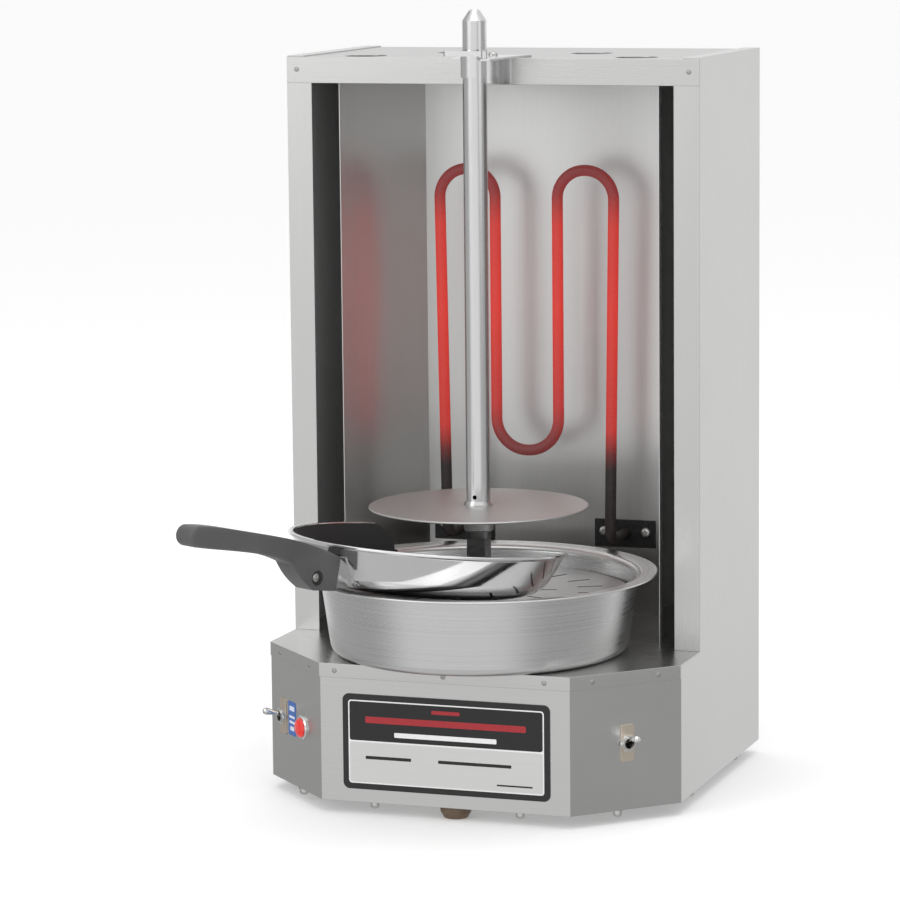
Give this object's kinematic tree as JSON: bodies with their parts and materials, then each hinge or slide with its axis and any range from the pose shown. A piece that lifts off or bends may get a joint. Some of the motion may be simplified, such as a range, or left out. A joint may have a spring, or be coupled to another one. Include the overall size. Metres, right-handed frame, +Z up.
{
  "type": "vertical rotisserie broiler",
  "caption": "Countertop vertical broiler: cabinet with reflector and tubular heater, driven upright spit with a meat disc, round drip pan, scoop-cut catch pan, toggle switches.",
  "frame": {"origin": "on the spit's axis, on the underside of the base plate; the feet reach 12 mm lower", "axes": "+Z up along the spit, -Y towards the cook, +X to the cook's right"},
  "size_m": [0.4, 0.5873, 0.73],
  "materials": {
    "cabinet_steel": "satin stainless sheet",
    "liner_steel": "bright reflector sheet, heat-tinted low down",
    "heater_sheath": "oxidised alloy sheath, glowing red in the middle",
    "black_plate": "blackened steel",
    "zinc_screw": "zinc-plated",
    "ceramic": "glazed ceramic",
    "mineral_fibre": "matted fibre",
    "polished_steel": "polished stainless",
    "satin_disc": "satin stainless",
    "dark_steel": "plain steel",
    "bronze": "sintered bronze",
    "cast_case": "as cast",
    "post_steel": "zinc-plated",
    "motor_paint": "black enamel",
    "spun_aluminium": "satin, spun",
    "nonstick": "black non-stick layer",
    "phenolic": "black moulded phenolic",
    "chrome_trim": "bright chrome",
    "etched_plate": "etched and part-filled black",
    "red_lens": "clear red",
    "sticker": "printed film",
    "rubber": "brown moulded rubber",
    "nylon": "black nylon",
    "wire_jacket": "heat-proof sleeve"
  },
  "bodies": {
    "cabinet": {"side_panel_right": "cabinet_steel", "side_panel_left": "cabinet_steel", "back_panel": "cabinet_steel", "top_panel": "cabinet_steel", "deck": "cabinet_steel", "front_apron": "cabinet_steel", "bottom_plate": "cabinet_steel", "liner": "liner_steel", "heater_element": "heater_sheath", "terminal_plates": "black_plate", "terminal_screws": "zinc_screw", "base_nuts": "zinc_screw", "back_screws": "zinc_screw", "bracket_screw": "zinc_screw", "panel_rivets": "zinc_screw", "element_studs": "zinc_screw", "latch_pin": "zinc_screw", "element_insulators": "ceramic", "insulation_blanket": "mineral_fibre", "spit_bracket": "polished_steel", "shaft_bush": "bronze", "gearbox_housing": "cast_case", "gearbox_cover": "cast_case", "gearbox_posts": "post_steel", "motor_can": "motor_paint", "terminal_block": "phenolic", "heat_switch_body": "phenolic", "motor_switch_body": "phenolic", "heat_switch_nut": "chrome_trim", "motor_switch_nut": "chrome_trim", "pilot_bezel": "chrome_trim", "heat_switch_plate": "etched_plate", "motor_switch_plate": "etched_plate", "name_plate": "etched_plate", "pilot_lens": "red_lens", "info_sticker": "sticker", "feet": "rubber", "cable_gland": "nylon", "internal_wiring": "wire_jacket"},
    "drive": {"drive_gear": "dark_steel", "output_shaft": "dark_steel", "drive_socket": "dark_steel", "socket_screw": "zinc_screw"},
    "rotor": {"motor_pinion": "dark_steel"},
    "spit": {"spit_tube": "polished_steel", "spit_collar": "polished_steel", "meat_disc": "satin_disc", "disc_hub": "satin_disc", "hub_pin": "zinc_screw", "square_drive": "dark_steel"},
    "latch": {"spit_latch": "polished_steel"},
    "drip_pan": {"drip_pan": "spun_aluminium", "strainer_plate": "spun_aluminium"},
    "catch_pan": {"catch_pan": "polished_steel", "nonstick_lining": "nonstick", "pan_bracket": "polished_steel", "pan_handle": "phenolic", "handle_screw": "zinc_screw"},
    "heat_lever": {"heat_lever": "chrome_trim"},
    "motor_lever": {"motor_lever": "chrome_trim"}
  },
  "joints": [
    {"name": "drive_spin", "type": "hinge", "parent": "cabinet", "child": "drive", "pos_m": [0, 0, 0.1], "axis": [0, 0, 1], "continuous": true},
    {"name": "rotor_spin", "type": "hinge", "parent": "cabinet", "child": "rotor", "pos_m": [0, 0.0453, 0.08], "axis": [0, 0, 1], "continuous": true},
    {"name": "spit_lift", "type": "slide", "parent": "drive", "child": "spit", "axis": [0, 0, 1], "range_m": [0, 0.06]},
    {"name": "latch_swing", "type": "hinge", "parent": "cabinet", "child": "latch", "pos_m": [0.0145, -0.0155, 0.678], "axis": [0, 0, 1], "range_deg": [0, 110]},
    {"name": "drip_pan_lift", "type": "slide", "parent": "cabinet", "child": "drip_pan", "axis": [0, 0, 1], "range_m": [0, 0.008]},
    {"name": "catch_pan_slide", "type": "slide", "parent": "drip_pan", "child": "catch_pan", "axis": [-0.4117, -0.8828, 0.2262], "range_m": [0, 0.12]},
    {"name": "heat_lever_flip", "type": "hinge", "parent": "cabinet", "child": "heat_lever", "pos_m": [-0.17905, -0.03989, 0.062], "axis": [0.7023, -0.7119, 0], "range_deg": [0, 34]},
    {"name": "motor_lever_flip", "type": "hinge", "parent": "cabinet", "child": "motor_lever", "pos_m": [0.15911, -0.0601, 0.062], "axis": [0.7023, 0.7119, 0], "range_deg": [0, 34]}
  ],
  "couplings": [
    {"joint": "rotor_spin", "follows": "drive_spin", "ratio": -4}
  ]
}
